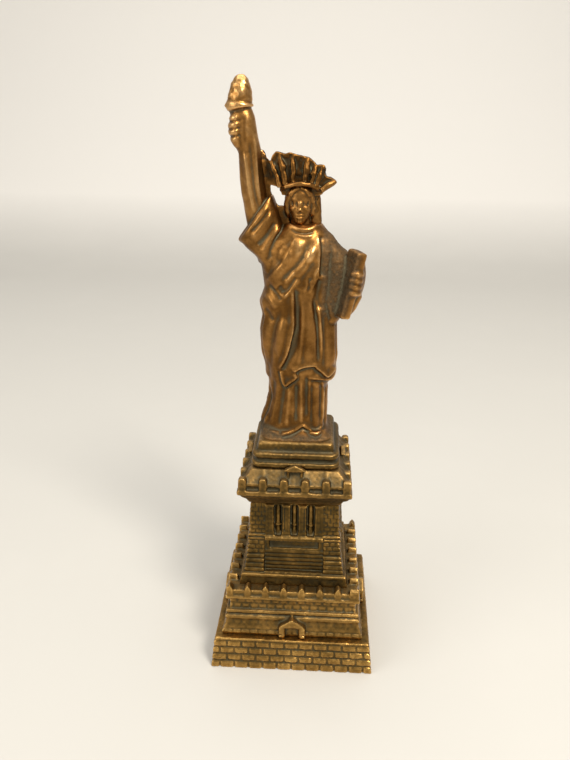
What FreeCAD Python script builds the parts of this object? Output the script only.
"""Miniature landmark model: a cast, robed torch-bearer on a stepped square pedestal.

Five hollow castings stack up under the cast figure, each one located by a square boss on
the casting below, and one long screw from underneath pulls them all together:

    fort_base      the brick-faced bottom tier
    terrace        the second tier, with its mouldings, small bricks and parapet of posts
    tower          the tapering shaft with rusticated corners and a loggia on each side
    deck           the overhanging gallery with posts and a hipped roof
    plinth         the round-cornered steps under the figure
    figure         robe, arms, head, crown, tablet, torch and flame in one casting
    tie_screw, spring_washer, clamp_bar       the fastening, inside the pedestal
    backing_card, felt_pad                    the card and felt that close the underside

Units are millimetres. The origin is the centre of the underside, +Z is up and the front of
the figure faces -Y. Sizes that can be set by themselves are named in the section below.
"""

import FreeCAD
import Part
import math
import os

from FreeCAD import Vector as V

os.makedirs("parts", exist_ok=True)

ORIGIN = V(0, 0, 0)
UP = V(0, 0, 1)
OVERLAP = 0.4  # how far a fused piece is sunk into the one that carries it

# ---------------------------------------------------------------- driving dimensions

# Fort base
fort_width = 40.0
fort_top_width = 38.2
fort_courses = 4
fort_course_height = 1.9
fort_ledge_height = 0.6
fort_brick_length = 3.55
fort_joint = 0.6
fort_relief = 0.42
fort_wall = 1.9
fort_plate = 1.8

# Terrace
terrace_foot_width = 35.4
terrace_wall_height = 4.0
terrace_wall_batter = 2.6
terrace_bar_height = 1.05
terrace_groove = 0.55
terrace_band_height = 3.0
terrace_post_rise = 3.0
terrace_posts = 8
terrace_post_width = 1.5
terrace_wall = 1.8
terrace_plate = 2.0
parapet_floor_rise = 1.5
doorway_half_width = 2.5
doorway_height = 3.4
doorway_jamb = 0.85
small_brick_length = 2.1
small_joint = 0.42
small_relief = 0.3

# Tower
tower_foot_width = 26.8
tower_plinth_height = 2.8
tower_shaft_foot = 24.9
tower_shaft_top = 21.4
tower_height = 21.8
tower_wall = 1.6
tower_plate = 1.8
pillar_width = 1.9
pillar_pitch = 3.95
pillar_count = 4
loggia_depth = 1.5
column_radius = 0.6
quoin_length = 1.45
quoin_joint = 0.35

# Deck
deck_overhang = 2.95
deck_cove_height = 3.0
deck_bar_height = 1.35
deck_posts = 6
deck_post_width = 1.9
deck_post_rise = 3.2
deck_rail_height = 1.9
deck_roof_foot = 25.0
deck_roof_rise = 2.6
deck_plate = 2.0
deck_cavity = 15.0

# Plinth
plinth_width = 21.2
plinth_height = 6.4
plinth_corner = 2.6
plinth_cavity = 12.2
plinth_plate = 2.2

# Registers between castings
boss_height = 1.2
register_clearance = 0.1
figure_boss = 6.0

# Fastening
screw_radius = 1.5
thread_engagement = 6.75
thread_spare = 2.2
screw_head_land = 1.25
screw_head_height = 2.0
screw_slot = 0.8
screw_hole_clearance = 0.2
thread_clearance = 0.02
washer_land = 1.4
washer_thickness = 0.8
clamp_length = 24.0
clamp_width = 8.0
clamp_thickness = 1.5

# Underside
pad_thickness = 1.2
card_thickness = 0.7
pad_clearance = 0.2

# Figure
figure_height = 79.65
hem_rise = 12.6
tablet_width = 4.4
tablet_depth = 1.9
tablet_length = 15.2
tablet_lean = 12.6
tablet_turn = -58.0
ray_count = 7
ray_radius = 0.55

# ---------------------------------------------------------------- worked-out levels

fort_top = fort_courses * fort_course_height + fort_ledge_height
wall_top = fort_top + terrace_wall_height
lower_bar_top = wall_top + terrace_bar_height
upper_bar_foot = lower_bar_top + terrace_groove
upper_bar_top = upper_bar_foot + terrace_bar_height * 0.9
band_top = upper_bar_top + terrace_band_height
ledge_top = band_top + terrace_bar_height
terrace_floor = ledge_top + parapet_floor_rise
tower_foot = terrace_floor
shaft_foot = tower_foot + tower_plinth_height
tower_top = tower_foot + tower_height
deck_bar_foot = tower_top + deck_cove_height
deck_bar_top = deck_bar_foot + deck_bar_height
deck_top = deck_bar_top + deck_rail_height + deck_roof_rise
plinth_top = deck_top + plinth_height
figure_foot = plinth_top

terrace_top_width = terrace_foot_width - terrace_wall_batter
bar_width = terrace_top_width + 0.6
band_width = terrace_top_width - 1.6
fort_cavity = fort_width - 2 * fort_wall
terrace_cavity = terrace_foot_width - 2 * terrace_wall
screw_hole = screw_radius + screw_hole_clearance
washer_radius = screw_radius + washer_land
screw_head_radius = screw_radius + screw_head_land

# ---------------------------------------------------------------- helpers


def save(shape, name):
    """Writes one sub-part and prints what it holds."""
    shape.exportStep(f"parts/{name}.step")
    size = shape.BoundBox
    print(
        f"{name:14s} valid {shape.isValid()} solids {len(shape.Solids)} faces {len(shape.Faces)} "
        f"volume {shape.Volume:9.1f} z {size.ZMin:6.2f} to {size.ZMax:6.2f}"
    )


def between(outline, z):
    """The width of a list of (width, z) at height z, in straight lines between its points."""
    for (low_width, low), (high_width, high) in zip(outline, outline[1:]):
        if z <= high:
            share = (z - low) / (high - low)
            return low_width + share * (high_width - low_width)
    return outline[-1][0]


def square_turned(outline):
    """A solid that is square at every level. The outline lists (width, z) up one side."""
    reach = max(width for width, z in outline)
    right = [V(width / 2, 0, z) for width, z in outline]
    left = [V(-width / 2, 0, z) for width, z in reversed(outline)]
    loop = Part.makePolygon(right + left + [right[0]])
    slab = Part.Face(loop).extrude(V(0, 2 * reach, 0))
    slab.translate(V(0, -reach, 0))
    turned = slab.copy()
    turned.rotate(ORIGIN, UP, 90)
    return slab.common(turned)


def block(x0, x1, y0, y1, z0, z1):
    """A box between two corners."""
    return Part.makeBox(x1 - x0, y1 - y0, z1 - z0, V(x0, y0, z0))


def four_sides(shape):
    """Copies of a shape made for the front, turned to all four sides."""
    copies = []
    for quarter in range(4):
        turned = shape.copy()
        turned.rotate(ORIGIN, UP, 90 * quarter)
        copies.append(turned)
    return copies


def spread(count, pitch):
    """Centres of count things at a pitch, either side of zero."""
    return [(step - (count - 1) / 2) * pitch for step in range(count)]


def brick_band(outline, z0, z1, pitch, joint, shift, free=0.0):
    """One course of bricks round all four sides, as a solid square cut by upright joints.

    free is the half width in the middle of each side that has no joints, because a panel is cut there.
    """
    band = square_turned([(between(outline, z0), z0), (between(outline, z1), z1)])
    width = between(outline, z0)
    side = width / 2
    count = int(side / pitch) + 1
    joints = []
    for step in range(-count, count + 1):
        x = (step + shift) * pitch
        if free <= abs(x) < side - 1.5 * joint:
            slot = block(x - joint / 2, x + joint / 2, -side - 1, -side + 1, z0 - 1, z1 + 1)
            joints += four_sides(slot)
    return band.cut(Part.makeCompound(joints))


def courses(outline, z0, z1, count, joint):
    """(low, high) of each course between two heights, with half a joint left above and below."""
    height = (z1 - z0) / count
    rows = []
    for row in range(count):
        rows.append((z0 + row * height + joint / 2, z0 + (row + 1) * height - joint / 2))
    return rows


def rounded_square(width, corner, z):
    """A square wire with round corners at height z."""
    half = width / 2
    flat = half - corner
    edges = []
    for quarter in range(4):
        side = Part.LineSegment(V(-flat, -half, z), V(flat, -half, z)).toShape()
        middle = V(flat + corner * math.sin(math.pi / 4), -flat - corner * math.cos(math.pi / 4), z)
        arc = Part.Arc(V(flat, -half, z), middle, V(half, -flat, z)).toShape()
        for edge in (side, arc):
            edge.rotate(ORIGIN, UP, 90 * quarter)
            edges.append(edge)
    return Part.Wire(edges)


def rounded_step(low_width, low, high_width, high, corner_centre):
    """A step of the plinth: every level is a square whose round corners share one centre."""
    wires = []
    for width, z in ((low_width, low), (high_width, high)):
        wires.append(rounded_square(width, width / 2 - corner_centre, z))
    return Part.makeLoft(wires, True, True)


def screw_way(z0, z1):
    """The clearance hole for the tie screw."""
    return Part.makeCylinder(screw_hole, z1 - z0, V(0, 0, z0))


def boss(cavity, z):
    """The square boss that locates the next casting by its cavity."""
    half = cavity / 2 - register_clearance
    return block(-half, half, -half, half, z - OVERLAP, z + boss_height)


def gable(half_width, y0, y1, z0, z1, apex):
    """A block with a pitched roof whose ridge runs front to back."""
    face = Part.makePolygon(
        [
            V(-half_width, y0, z0),
            V(half_width, y0, z0),
            V(half_width, y0, z1),
            V(0, y0, apex),
            V(-half_width, y0, z1),
            V(-half_width, y0, z0),
        ]
    )
    return Part.Face(face).extrude(V(0, y1 - y0, 0))


# ---------------------------------------------------------------- fort base

fort_outline = [(fort_width, 0.0), (fort_top_width, fort_top)]
fort_core_outline = [(width - 2 * fort_relief, z) for width, z in fort_outline]


def make_fort():
    """The bottom tier: battered walls of brick, a ledge, and a boss for the terrace."""
    brick_top = fort_top - fort_ledge_height
    pieces = []
    for row, (low, high) in enumerate(courses(fort_outline, 0, brick_top, fort_courses, fort_joint)):
        foot = 0.0 if row == 0 else low
        shift = 0.5 * (row % 2)
        pieces.append(brick_band(fort_outline, foot, high, fort_brick_length, fort_joint, shift))
    ledge_width = between(fort_outline, brick_top)
    pieces.append(square_turned([(ledge_width - 0.5, brick_top), (ledge_width - 0.1, fort_top - 0.15),
                                 (ledge_width - 0.6, fort_top)]))
    shell = square_turned(fort_core_outline).fuse(pieces)
    under_plate = fort_top - fort_plate
    cavity_top = between(fort_outline, under_plate) - 2 * fort_wall
    cavity = square_turned([(fort_cavity, 0), (cavity_top, under_plate)])
    shell = shell.cut(cavity).fuse(boss(terrace_cavity, fort_top))
    return shell.cut(screw_way(0, fort_top + 5)).removeSplitter()


# ---------------------------------------------------------------- terrace


def make_doorway():
    """The pedimented doorway on the terrace wall, for the front."""
    half = doorway_half_width
    front = -(terrace_foot_width / 2 + 0.45)
    back = -(terrace_top_width / 2 - 1.5)
    sill = fort_top
    lintel = sill + doorway_height
    house = gable(half, front, back, sill, lintel, lintel + 1.75)
    eaves = gable(half + 0.45, front - 0.2, back, lintel - 0.15, lintel + 0.25, lintel + 2.15)
    inner = half - doorway_jamb
    opening = block(-inner, inner, front - 1, front + 0.9, sill - 1, lintel - 0.55)
    jambs = []
    for side in (-1, 1):
        for row in range(3):
            low = sill + 0.1 + row * 1.15
            x = side * (half + 0.25)
            jambs.append(block(x - 0.55, x + 0.55, front - 0.15, back, low, low + 0.8))
    return house.fuse([eaves] + jambs).cut(opening)


def terrace_post(x, outer):
    """A parapet post with a pitched cap whose ridge runs in to the terrace, for the front."""
    half = terrace_post_width / 2
    shoulder = ledge_top + terrace_post_rise - 0.9
    post = gable(half, -outer, -outer + 2.3, ledge_top - OVERLAP, shoulder, shoulder + 0.9)
    post.translate(V(x, 0, 0))
    return post


def make_terrace():
    """The second tier: small bricks, two bars, a beaded band, and the parapet."""
    wall = [(terrace_foot_width, fort_top), (terrace_top_width, wall_top)]
    wall_core = [(width - 2 * small_relief, z) for width, z in wall]
    band = [(band_width, upper_bar_top), (band_width, band_top)]
    band_core = band_width - 2 * small_relief
    parapet_width = bar_width - 1.0
    core = square_turned(
        wall_core
        + [
            (bar_width - 0.3, wall_top + 0.01),
            (bar_width, wall_top + 0.3),
            (bar_width - 0.2, lower_bar_top),
            (bar_width - 1.5, lower_bar_top + 0.05),
            (bar_width - 1.5, upper_bar_foot),
            (bar_width - 0.6, upper_bar_foot + 0.05),
            (bar_width - 0.7, upper_bar_top),
            (band_core, upper_bar_top + 0.05),
            (band_core, band_top),
            (bar_width - 0.5, band_top + 0.2),
            (bar_width - 0.4, ledge_top),
            (parapet_width - 0.5, ledge_top + 0.01),
            (parapet_width - 0.6, ledge_top + 1.45),
            (parapet_width - 3.0, ledge_top + 2.0),
            (parapet_width - 3.6, terrace_floor),
        ]
    )
    pieces = []
    rows = courses(wall, fort_top + 0.3, wall_top, 3, small_joint)
    for row, (low, high) in enumerate(rows):
        pieces.append(brick_band(wall, low, high, small_brick_length, small_joint, 0.5 * (row % 2)))
    rows = courses(band, upper_bar_top + 0.1, band_top, 2, small_joint)
    for row, (low, high) in enumerate(rows):
        pieces.append(brick_band(band, low, high, small_brick_length, small_joint, 0.5 * (row % 2)))
    outer = parapet_width / 2
    post_pitch = (parapet_width - terrace_post_width) / (terrace_posts - 1)
    for x in spread(terrace_posts, post_pitch)[:-1]:
        pieces += four_sides(terrace_post(x, outer))
    pieces += four_sides(make_doorway())
    shell = core.fuse(pieces)
    under_plate = terrace_floor - terrace_plate
    cavity = square_turned([(terrace_cavity, fort_top - 1), (terrace_cavity, fort_top + 2),
                            (band_width - 2 * terrace_wall - 1.2, wall_top + 1),
                            (band_width - 2 * terrace_wall - 1.2, under_plate)])
    shell = shell.cut(cavity).cut(block(-30, 30, -30, 30, -5, fort_top))
    shell = shell.fuse(boss(tower_cavity, terrace_floor))
    return shell.cut(screw_way(fort_top, terrace_floor + 5)).removeSplitter()


# ---------------------------------------------------------------- tower

balcony_z = shaft_foot + 9.0
loggia_foot = balcony_z + 1.2
loggia_top = tower_top - 0.5
loggia_half = (pillar_count - 1) / 2 * pillar_pitch + pillar_width / 2
panel_half = loggia_half + 0.35
shaft_outline = [
    (tower_shaft_foot, shaft_foot),
    (tower_shaft_foot - 1.5, shaft_foot + 4.6),
    (tower_shaft_foot - 2.6, shaft_foot + 9.4),
    (tower_shaft_top, tower_top),
]
loggia_face = between(shaft_outline, loggia_foot) / 2
niche_depth = 0.9
tower_cavity = 2 * (loggia_face - niche_depth - tower_wall)
loggia_cavity = 2 * (tower_shaft_top / 2 - loggia_depth - tower_wall)


def make_pillar(x, face):
    """A square fluted pillar of the loggia with its base and cap blocks."""
    half = pillar_width / 2
    depth = loggia_depth + OVERLAP
    shaft = block(x - half, x + half, -face, -face + depth, loggia_foot, loggia_top)
    for flute in (-0.42, 0.42):
        groove = block(x + flute - 0.14, x + flute + 0.14, -face - 1, -face + 0.3,
                       loggia_foot + 1.1, loggia_top - 0.8)
        shaft = shaft.cut(groove)
    base = block(x - half - 0.12, x + half + 0.12, -face - 0.2, -face + depth,
                 loggia_foot, loggia_foot + 0.8)
    cap = block(x - half - 0.12, x + half + 0.12, -face - 0.15, -face + depth,
                loggia_top - 0.55, loggia_top)
    return shaft.fuse([base, cap])


def make_column(x, y):
    """A slender round column behind the pillars: domed foot, ring and shaft."""
    height = loggia_top - loggia_foot
    shaft = Part.makeCylinder(column_radius, height, V(x, y, loggia_foot))
    ring = Part.makeCylinder(column_radius + 0.25, 0.35, V(x, y, loggia_foot + 2.4))
    dome = Part.makeCone(column_radius + 0.4, column_radius - 0.05, 1.5, V(x, y, loggia_foot))
    return shaft.fuse([ring, dome])


def make_loggia():
    """Pillars and columns of one side, for the front."""
    face = loggia_face - 0.15
    pieces = []
    centres = spread(pillar_count, pillar_pitch)
    for x in centres:
        pieces.append(make_pillar(x, face))
    for left, right in zip(centres, centres[1:]):
        pieces.append(make_column((left + right) / 2, -face + loggia_depth - 0.25))
    return pieces


def make_tower():
    """The shaft: plinth, smooth bars, small bricks at the corners, and a panel with a loggia."""
    quoin_core = [(width - 2 * small_relief, z) for width, z in shaft_outline]
    core = square_turned(
        [
            (tower_foot_width, tower_foot),
            (tower_shaft_foot + 0.9, shaft_foot - 0.7),
            (tower_shaft_foot + 1.2, shaft_foot - 0.65),
            (tower_shaft_foot + 1.1, shaft_foot - 0.15),
            (tower_shaft_foot + 0.3, shaft_foot),
        ]
        + [(width, z + 0.01) for width, z in quoin_core[:-1]]
        + [quoin_core[-1]]
    )
    pieces = []
    bar_rows = courses(shaft_outline, shaft_foot + 0.2, shaft_foot + 4.9, 4, 0.45)
    for low, high in bar_rows:
        foot = between(shaft_outline, low)
        head = between(shaft_outline, high)
        pieces.append(square_turned([(foot, low), (head, high)]))
    rows = courses(shaft_outline, shaft_foot + 5.2, balcony_z - 0.4, 3, quoin_joint)
    rows += courses(shaft_outline, balcony_z + 1.5, tower_top - 0.2, 7, quoin_joint)
    for row, (low, high) in enumerate(rows):
        shift = 0.5 * (row % 2)
        pieces.append(brick_band(shaft_outline, low, high, quoin_length, quoin_joint, shift, panel_half))
    for low in (balcony_z - 0.15, balcony_z + 0.75):
        width = between(shaft_outline, low) + 0.5
        pieces.append(square_turned([(width - 0.2, low), (width, low + 0.25), (width - 0.1, low + 0.6)]))
    shell = core.fuse(pieces)

    panel_face = between(shaft_outline, shaft_foot) / 2
    panel = block(-panel_half, panel_half, -panel_face - 2, -loggia_face + 0.25,
                  shaft_foot + 0.3, loggia_foot)
    recess = block(-loggia_half, loggia_half, -panel_face - 2, -loggia_face + loggia_depth,
                   loggia_foot, loggia_top)
    niche = block(-panel_half + 1.2, panel_half - 1.2, -panel_face - 2, -loggia_face + niche_depth,
                  balcony_z - 2.6, balcony_z - 0.5)
    cutters = four_sides(panel) + four_sides(recess) + four_sides(niche)
    shell = shell.cut(Part.makeCompound(cutters))

    extras = []
    for row in range(5):
        low = shaft_foot + 0.6 + row * 1.15
        extras += four_sides(block(-panel_half, panel_half, -loggia_face - 0.05, -loggia_face + 1,
                                   low, low + 0.65))
    balcony = block(-panel_half + 0.1, panel_half - 0.1, -loggia_face - 0.75, -loggia_face + 1,
                    balcony_z, balcony_z + 0.85)
    sill = block(-panel_half + 0.1, panel_half - 0.1, -loggia_face - 0.35, -loggia_face + 1,
                 balcony_z + 0.8, loggia_foot)
    extras += four_sides(balcony) + four_sides(sill)
    for piece in make_loggia():
        extras += four_sides(piece)
    shell = shell.fuse(extras)

    under_plate = tower_top - tower_plate
    cavity = square_turned([(tower_cavity, tower_foot - 1), (tower_cavity, balcony_z - 3.0),
                            (loggia_cavity, balcony_z - 1.0), (loggia_cavity, under_plate)])
    shell = shell.cut(cavity).cut(block(-30, 30, -30, 30, tower_foot - 9, tower_foot))
    shell = shell.fuse(boss(deck_cavity, tower_top))
    return shell.cut(screw_way(tower_foot, tower_top + 5)).removeSplitter()


# ---------------------------------------------------------------- deck

deck_width = tower_shaft_top + 2 * deck_overhang
deck_roof_top = plinth_width - 0.4
roof_foot_z = deck_bar_top + deck_rail_height


def deck_post(x):
    """A gallery post with a chamfered head, and the rib behind it up the roof, for the front."""
    half = deck_post_width / 2
    outer = deck_width / 2 - 0.35
    head = deck_bar_top + deck_post_rise
    outline = [
        V(x - half, -outer, deck_bar_top - OVERLAP),
        V(x + half, -outer, deck_bar_top - OVERLAP),
        V(x + half, -outer, head - 0.5),
        V(x + half - 0.5, -outer, head),
        V(x - half + 0.5, -outer, head),
        V(x - half, -outer, head - 0.5),
    ]
    return Part.Face(Part.makePolygon(outline + [outline[0]])).extrude(V(0, 1.9, 0))


def roof_rib(x):
    """A low rib that runs from a post up the hipped roof, for the front."""
    foot = deck_roof_foot / 2
    head = deck_roof_top / 2
    rise = 0.35
    outline = [
        V(x - 0.35, -foot, roof_foot_z - 0.5),
        V(x - 0.35, -foot, roof_foot_z + rise),
        V(x - 0.35, -head, deck_top + rise * 0.6),
        V(x - 0.35, -head, roof_foot_z - 0.5),
    ]
    return Part.Face(Part.makePolygon(outline + [outline[0]])).extrude(V(0.7, 0, 0))


def deck_doorway():
    """The small pedimented doorway that stands on the roof against the plinth, for the front."""
    back = -(plinth_width / 2 + 0.08)
    front = back - 1.1
    sill = roof_foot_z - 0.3
    lintel = deck_top + 0.35
    house = gable(1.9, front, back, sill, lintel, lintel + 1.0)
    eaves = gable(2.6, front - 0.25, back, lintel - 0.1, lintel + 0.2, lintel + 1.55)
    opening = block(-1.25, 1.25, front - 1, front + 0.75, sill - 1, lintel - 0.3)
    return house.fuse(eaves).cut(opening)


def make_deck():
    """The gallery: a cove, a bold bar, posts with rails between, and the hipped roof."""
    core = square_turned(
        [
            (tower_shaft_top + 0.5, tower_top),
            (tower_shaft_top + 0.9, tower_top + 0.5),
            (tower_shaft_top + 2.2, tower_top + 1.5),
            (deck_width - 1.9, tower_top + 2.3),
            (deck_width - 1.3, deck_bar_foot),
            (deck_width - 0.3, deck_bar_foot + 0.15),
            (deck_width, deck_bar_foot + 0.5),
            (deck_width, deck_bar_top - 0.3),
            (deck_width - 0.3, deck_bar_top),
            (deck_width - 2.4, deck_bar_top + 0.01),
            (deck_width - 2.4, roof_foot_z - 0.9),
            (deck_width - 1.4, roof_foot_z - 0.85),
            (deck_width - 1.4, roof_foot_z - 0.2),
            (deck_roof_foot, roof_foot_z),
            (deck_roof_top, deck_top),
        ]
    )
    pieces = []
    post_pitch = (deck_width - 0.7 - deck_post_width) / (deck_posts - 1)
    for x in spread(deck_posts, post_pitch)[:-1]:
        pieces += four_sides(deck_post(x))
    for x in spread(deck_posts, post_pitch)[1:-1]:
        pieces += four_sides(roof_rib(x))
    pieces += four_sides(deck_doorway())
    shell = core.fuse(pieces)
    half = deck_cavity / 2
    cavity = block(-half, half, -half, half, tower_top - 1, deck_top - deck_plate)
    shell = shell.cut(cavity).fuse(boss(plinth_cavity, deck_top))
    return shell.cut(screw_way(tower_top, deck_top + 5)).removeSplitter()


# ---------------------------------------------------------------- plinth


def make_plinth():
    """Round-cornered steps: a bar, a groove, a second bar, and the block under the figure."""
    centre = plinth_width / 2 - plinth_corner
    w = plinth_width
    z = deck_top
    levels = [
        (w - 1.2, z, w - 1.2, z + 0.4),
        (w - 0.2, z + 0.4, w, z + 0.9),
        (w, z + 0.9, w - 0.3, z + 1.6),
        (w - 1.7, z + 1.6, w - 1.7, z + 2.7),
        (w - 0.7, z + 2.7, w - 0.4, z + 3.3),
        (w - 0.4, z + 3.3, w - 0.9, z + 4.0),
        (w - 2.0, z + 4.0, w - 3.0, z + 4.3),
        (w - 3.0, z + 4.3, w - 3.2, z + 5.9),
        (w - 3.2, z + 5.9, w - 4.2, plinth_top),
    ]
    steps = []
    for low_width, low, high_width, high in levels:
        steps.append(rounded_step(low_width, low, high_width, high, centre))
    solid = steps[0].fuse(steps[1:])
    half = plinth_cavity / 2
    cavity = block(-half, half, -half, half, deck_top - 1, plinth_top - plinth_plate)
    side = figure_boss / 2
    peg = block(-side, side, -side, side, plinth_top - OVERLAP, plinth_top + boss_height)
    shell = solid.cut(cavity).fuse(peg)
    return shell.cut(screw_way(deck_top, plinth_top + 5)).removeSplitter()


# ---------------------------------------------------------------- figure

drawn_height = 79.65  # the height that the sections below are drawn for; z counts up from the plinth


def ring(z, left, right, front, back, ripple=0.0, count=12, turn=0.0):
    """A closed, smooth level curve of the robe.

    left and right are x, front and back are y, and ripple raises count pleats round it.
    """
    cx = (left + right) / 2
    cy = (front + back) / 2
    points = []
    steps = 48 if ripple else 24
    for step in range(steps):
        angle = 2 * math.pi * step / steps
        pleat = ripple * math.cos(count * angle + turn)
        half_x = (right - left) / 2 + pleat
        half_y = (back - front) / 2 + pleat
        square = 0.86
        dx = math.copysign(abs(math.cos(angle)) ** square, math.cos(angle))
        dy = math.copysign(abs(math.sin(angle)) ** square, math.sin(angle))
        points.append(V(cx + half_x * dx, cy + half_y * dy, figure_foot + z))
    curve = Part.BSplineCurve()
    curve.interpolate(points, PeriodicFlag=True)
    return Part.Wire(curve.toShape())


def draped(levels):
    """A solid through level curves, each given as the arguments of ring."""
    return Part.makeLoft([ring(*level) for level in levels], True, False)


def limb(stations):
    """A smooth limb through round sections, given as (x, y, z, radius) with z above the plinth."""
    centres = [V(x, y, figure_foot + z) for x, y, z, radius in stations]
    wires = []
    for index, centre in enumerate(centres):
        before = centres[max(index - 1, 0)]
        after = centres[min(index + 1, len(centres) - 1)]
        circle = Part.Circle(centre, after - before, stations[index][3])
        wires.append(Part.Wire(circle.toShape()))
    return Part.makeLoft(wires, True, False)


def egg(x, y, z, radius, half_height):
    """An ellipsoid of revolution about its upright axis, with z above the plinth."""
    ellipse = Part.Ellipse(ORIGIN, half_height, radius)
    axis = Part.makeLine(V(-half_height, 0, 0), V(half_height, 0, 0))
    half = Part.Wire([ellipse.toShape(0, math.pi), axis])
    ball = Part.Face(half).revolve(ORIGIN, V(1, 0, 0), 360)
    ball.rotate(ORIGIN, V(0, 1, 0), -90)
    ball.translate(V(x, y, figure_foot + z))
    return ball


def turned_profile(x, y, outline):
    """A solid of revolution about an upright line. The outline lists (radius, z) up one side."""
    points = [V(0, 0, outline[0][1])]
    points += [V(radius, 0, z) for radius, z in outline]
    points += [V(0, 0, outline[-1][1]), V(0, 0, outline[0][1])]
    solid = Part.Face(Part.makePolygon(points)).revolve(ORIGIN, UP, 360)
    solid.translate(V(x, y, figure_foot))
    return solid


def make_robe():
    """The long dress and the mantle over it, with the hem of the mantle standing proud."""
    dress = draped(
        [
            (0.0, -8.9, 7.1, -5.9, 5.6, 0.35, 13),
            (1.6, -9.0, 7.2, -6.2, 5.7, 0.40, 13),
            (5.6, -7.6, 6.9, -5.9, 5.2, 0.40, 13),
            (9.0, -6.8, 6.8, -5.6, 5.1, 0.35, 13),
            (13.0, -7.2, 7.2, -5.6, 5.1, 0.30, 13),
            (18.0, -7.4, 7.6, -5.6, 5.1, 0.20, 13),
        ]
    )
    mantle = draped(
        [
            (hem_rise, -7.2, 7.3, -5.9, 5.4),
            (hem_rise + 1.2, -7.4, 8.3, -6.2, 5.7),
            (hem_rise + 2.8, -7.7, 9.0, -6.5, 6.0),
            (20.0, -8.5, 9.1, -6.6, 6.2),
            (25.0, -8.8, 8.9, -6.6, 6.2),
            (28.6, -8.3, 8.7, -6.3, 6.0),
            (31.5, -8.9, 8.5, -6.3, 5.9),
            (35.0, -8.0, 8.2, -6.2, 5.7),
            (39.0, -8.3, 8.3, -6.3, 5.5),
            (43.0, -8.6, 8.6, -6.0, 5.2),
            (46.0, -7.4, 7.6, -5.0, 4.6),
            (48.3, -4.6, 5.4, -3.9, 3.6),
        ]
    )
    return dress.fuse(mantle)


def make_raised_arm():
    """The bare arm, the drooping sleeve round its root and the fist at its top."""
    arm = limb(
        [
            (-6.6, 0.0, 42.0, 3.0),
            (-8.8, -0.2, 48.0, 2.9),
            (-10.2, -0.4, 56.0, 2.8),
            (-10.7, -0.6, 60.5, 2.7),
            (-11.0, -0.8, 64.5, 2.5),
        ]
    )
    fist = limb(
        [
            (-11.0, -0.8, 63.8, 2.3),
            (-11.7, -0.8, 66.0, 2.95),
            (-12.4, -0.9, 68.6, 3.2),
            (-12.6, -0.9, 70.8, 3.05),
            (-12.9, -0.9, 72.4, 2.5),
        ]
    )
    sleeve = draped(
        [
            (38.5, -8.4, -3.0, -3.8, 3.6),
            (41.5, -9.6, -3.0, -4.1, 3.9),
            (43.5, -11.8, -3.2, -3.9, 3.7),
            (45.6, -13.4, -3.6, -3.4, 3.2),
            (47.6, -12.1, -4.2, -3.5, 3.3),
            (49.8, -11.6, -5.0, -3.6, 3.3),
            (54.6, -11.9, -6.4, -3.7, 3.3),
        ]
    )
    rim = Part.makeBox(30, 30, 20, V(-15, -15, 0))
    rim.rotate(ORIGIN, V(0, 1, 0), -50)
    rim.translate(V(-9.1, 0, figure_foot + 52.4))
    sleeve = sleeve.cut(rim)
    return arm.fuse([sleeve, fist])


def make_torch():
    """The torch above the fist: neck, gallery and flame."""
    gallery = turned_profile(
        -13.05,
        -0.9,
        [(2.0, 71.0), (2.45, 72.5), (2.95, 73.1), (2.95, 74.1), (2.6, 74.6), (2.4, 75.0)],
    )
    flame = limb(
        [
            (-13.0, -0.9, 74.0, 2.5),
            (-12.85, -0.9, 75.6, 2.6),
            (-12.6, -0.9, 77.4, 2.1),
            (-12.35, -0.9, 78.7, 1.25),
            (-12.3, -0.9, drawn_height, 0.4),
        ]
    )
    return gallery.fuse(flame)


def make_head():
    """The neck, head, hair and the diadem band."""
    neck = limb([(0.4, -0.3, 45.0, 3.1), (0.3, -0.8, 49.0, 2.4), (0.2, -1.0, 52.0, 2.4)])
    face = egg(0.0, -1.5, 53.6, 3.1, 4.5)
    hair = egg(0.5, 0.3, 54.0, 3.9, 4.7)
    fall = limb([(3.2, 0.0, 47.5, 1.3), (3.5, -0.4, 51.0, 1.35), (3.1, -0.7, 55.0, 1.3)])
    band = Part.makeCone(4.0, 4.3, 1.6, V(0.2, -0.3, figure_foot + 56.6))
    return neck.fuse([face, hair, fall, band])


crown_centre = (0.2, -0.3, 57.4)
ray_angles = (150, 127, 108, 89, 69, 45, 12)
ray_reach = (8.2, 9.9, 8.9, 8.2, 7.6, 6.8, 7.8)


def ray_tip(index, reach):
    """A point on a ray's line, at a reach from the middle of the crown."""
    angle = math.radians(ray_angles[index])
    x, y, z = crown_centre
    lean = -0.16 * reach * math.sin(angle)
    return V(x + reach * math.cos(angle), y + 0.6 + lean, figure_foot + z - 1.8 + reach * math.sin(angle))


def make_crown():
    """Seven rays with the casting web between them."""
    pieces = []
    for index in range(ray_count):
        foot = ray_tip(index, 3.2)
        tip = ray_tip(index, ray_reach[index])
        along = tip - foot
        pieces.append(Part.makeCone(ray_radius * 1.35, ray_radius * 0.7, along.Length, foot, along))
    for index in range(ray_count - 1):
        corners = [
            ray_tip(index, 2.6),
            ray_tip(index, ray_reach[index] - 1.0),
            ray_tip(index + 1, ray_reach[index + 1] - 1.0),
            ray_tip(index + 1, 2.6),
        ]
        corners = [V(corner.x, 0, corner.z) for corner in corners]
        web = Part.Face(Part.makePolygon(corners + [corners[0]])).extrude(V(0, 1.1, 0))
        web.translate(V(0, -0.45, 0))
        pieces.append(web)
    return pieces


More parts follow.
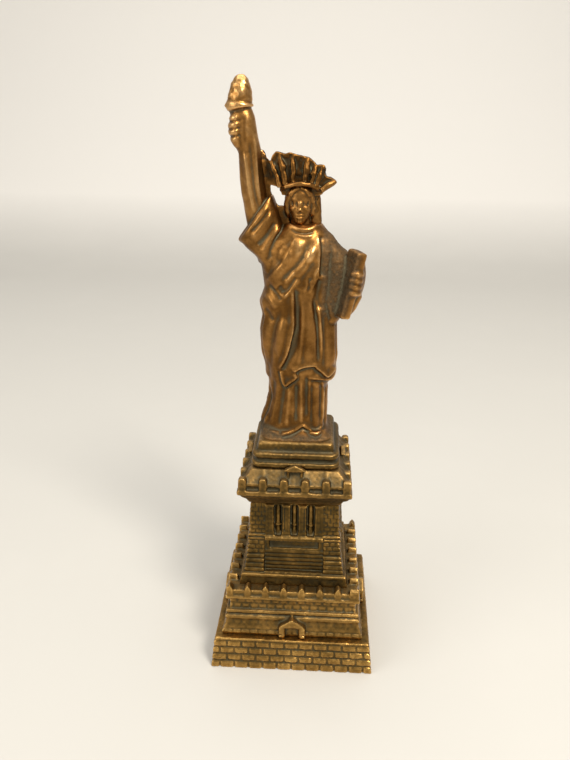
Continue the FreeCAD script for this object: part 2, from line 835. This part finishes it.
def make_web():
    """The fin of metal left in the mould between the arm, the crown and the shoulder."""
    top = [(-10.0, 65.5), (-5.6, 61.0), (-4.4, 57.0), (-8.0, 56.2), (-10.4, 60.0)]
    low = [(-8.2, 56.6), (-6.4, 56.9), (-6.9, 54.5), (-5.2, 51.4), (-1.5, 51.2), (-2.0, 48.0), (-8.0, 48.0)]
    fins = []
    for outline in (top, low):
        points = [V(x, -0.4, figure_foot + z) for x, z in outline]
        fins.append(Part.Face(Part.makePolygon(points + [points[0]])).extrude(V(0, 1.2, 0)))
    return fins


def make_left_side():
    """The draped left arm, the tablet it holds, and the hand round the tablet's edge."""
    drape = draped(
        [
            (27.4, 3.0, 8.9, -3.6, 4.2),
            (30.0, 3.0, 11.0, -4.2, 4.4),
            (34.0, 3.0, 13.4, -4.4, 4.3),
            (38.0, 3.0, 13.8, -4.2, 4.0),
            (41.4, 2.5, 13.2, -3.9, 3.8),
            (43.0, 2.0, 11.6, -3.4, 3.4),
            (44.4, 1.5, 8.9, -3.0, 3.2),
            (46.8, 1.0, 7.2, -2.8, 3.0),
        ]
    )
    tablet = block(-tablet_width / 2, tablet_width / 2, -tablet_depth / 2, tablet_depth / 2,
                   -tablet_length / 2, tablet_length / 2)
    tablet.rotate(ORIGIN, UP, tablet_turn)
    tablet.rotate(ORIGIN, V(0, 1, 0), tablet_lean)
    tablet.translate(V(10.75, -4.4, figure_foot + 36.9))
    hand = egg(12.6, -4.6, 36.8, 1.8, 4.0)
    return drape.fuse([tablet, hand])


def make_figure():
    """The whole casting, with the socket and the tapped hole in its foot."""
    solid = make_robe()
    pieces = [make_raised_arm(), make_torch(), make_head(), make_left_side()]
    pieces += make_crown()
    pieces += make_web()
    for piece in pieces:
        solid = solid.fuse(piece)
    if figure_height != drawn_height:
        solid.scale(figure_height / drawn_height, V(0, 0, figure_foot))
    foot = rounded_step(plinth_width - 4.6, plinth_top, plinth_width - 5.4, plinth_top + 0.6,
                        plinth_width / 2 - plinth_corner - 0.6)
    solid = solid.fuse(foot)
    side = figure_boss / 2 + register_clearance
    socket = block(-side, side, -side, side, plinth_top - 1, plinth_top + boss_height + 0.1)
    tapped_depth = thread_engagement + thread_spare
    tapped = Part.makeCylinder(screw_radius + thread_clearance, tapped_depth, V(0, 0, plinth_top))
    solid = solid.cut(socket).cut(tapped)
    below = block(-30, 30, -30, 30, plinth_top - 9, plinth_top)
    return solid.cut(below)


# ---------------------------------------------------------------- fastening and underside

clamp_top = fort_top - fort_plate
clamp_foot = clamp_top - clamp_thickness
washer_foot = clamp_foot - washer_thickness


def make_tie_screw():
    """A slotted cheese-head screw, its head inside the fort and its end in the figure."""
    head = Part.makeCylinder(screw_head_radius, screw_head_height,
                             V(0, 0, washer_foot - screw_head_height))
    head = head.makeChamfer(0.3, [edge for edge in head.Edges if len(edge.Vertexes) == 1][1:])
    slot = block(-5, 5, -screw_slot / 2, screw_slot / 2,
                 washer_foot - screw_head_height - 1, washer_foot - screw_head_height + 0.9)
    end = figure_foot + thread_engagement
    shank = Part.makeCylinder(screw_radius, end - 0.5 - washer_foot, V(0, 0, washer_foot))
    tip = Part.makeCone(screw_radius, screw_radius - 0.5, 0.5, V(0, 0, end - 0.5))
    return head.cut(slot).fuse([shank, tip]).removeSplitter()


def make_washer():
    """A split spring washer."""
    washer = Part.makeCylinder(washer_radius, washer_thickness, V(0, 0, washer_foot))
    washer = washer.cut(Part.makeCylinder(screw_hole, 5, V(0, 0, washer_foot - 1)))
    return washer.cut(block(0, 5, -0.25, 0.25, washer_foot - 1, clamp_foot + 1))


def make_clamp_bar():
    """The bar that spreads the screw's pull over the plate of the fort base."""
    half = clamp_length / 2
    bar = block(-half, half, -clamp_width / 2, clamp_width / 2, clamp_foot, clamp_top)
    upright = [edge for edge in bar.Edges if abs(edge.tangentAt(0).z) > 0.9]
    bar = bar.makeFillet(2.0, upright)
    return bar.cut(screw_way(clamp_foot - 1, clamp_top + 1))


def make_card():
    """The stiff card that the felt is glued to."""
    top = pad_thickness + card_thickness
    width = between(fort_outline, top) - 2 * (fort_wall + pad_clearance)
    return block(-width / 2, width / 2, -width / 2, width / 2, pad_thickness, top)


def make_pad():
    """The felt, flush with the rim of the fort base."""
    foot = fort_cavity - 2 * pad_clearance
    head = between(fort_outline, pad_thickness) - 2 * (fort_wall + pad_clearance)
    return square_turned([(foot, 0), (head, pad_thickness)])


if __name__ == "__main__":
    save(make_fort(), "fort_base")
    save(make_terrace(), "terrace")
    save(make_tower(), "tower")
    save(make_deck(), "deck")
    save(make_plinth(), "plinth")
    save(make_figure(), "figure")
    save(make_tie_screw(), "tie_screw")
    save(make_washer(), "spring_washer")
    save(make_clamp_bar(), "clamp_bar")
    save(make_card(), "backing_card")
    save(make_pad(), "felt_pad")
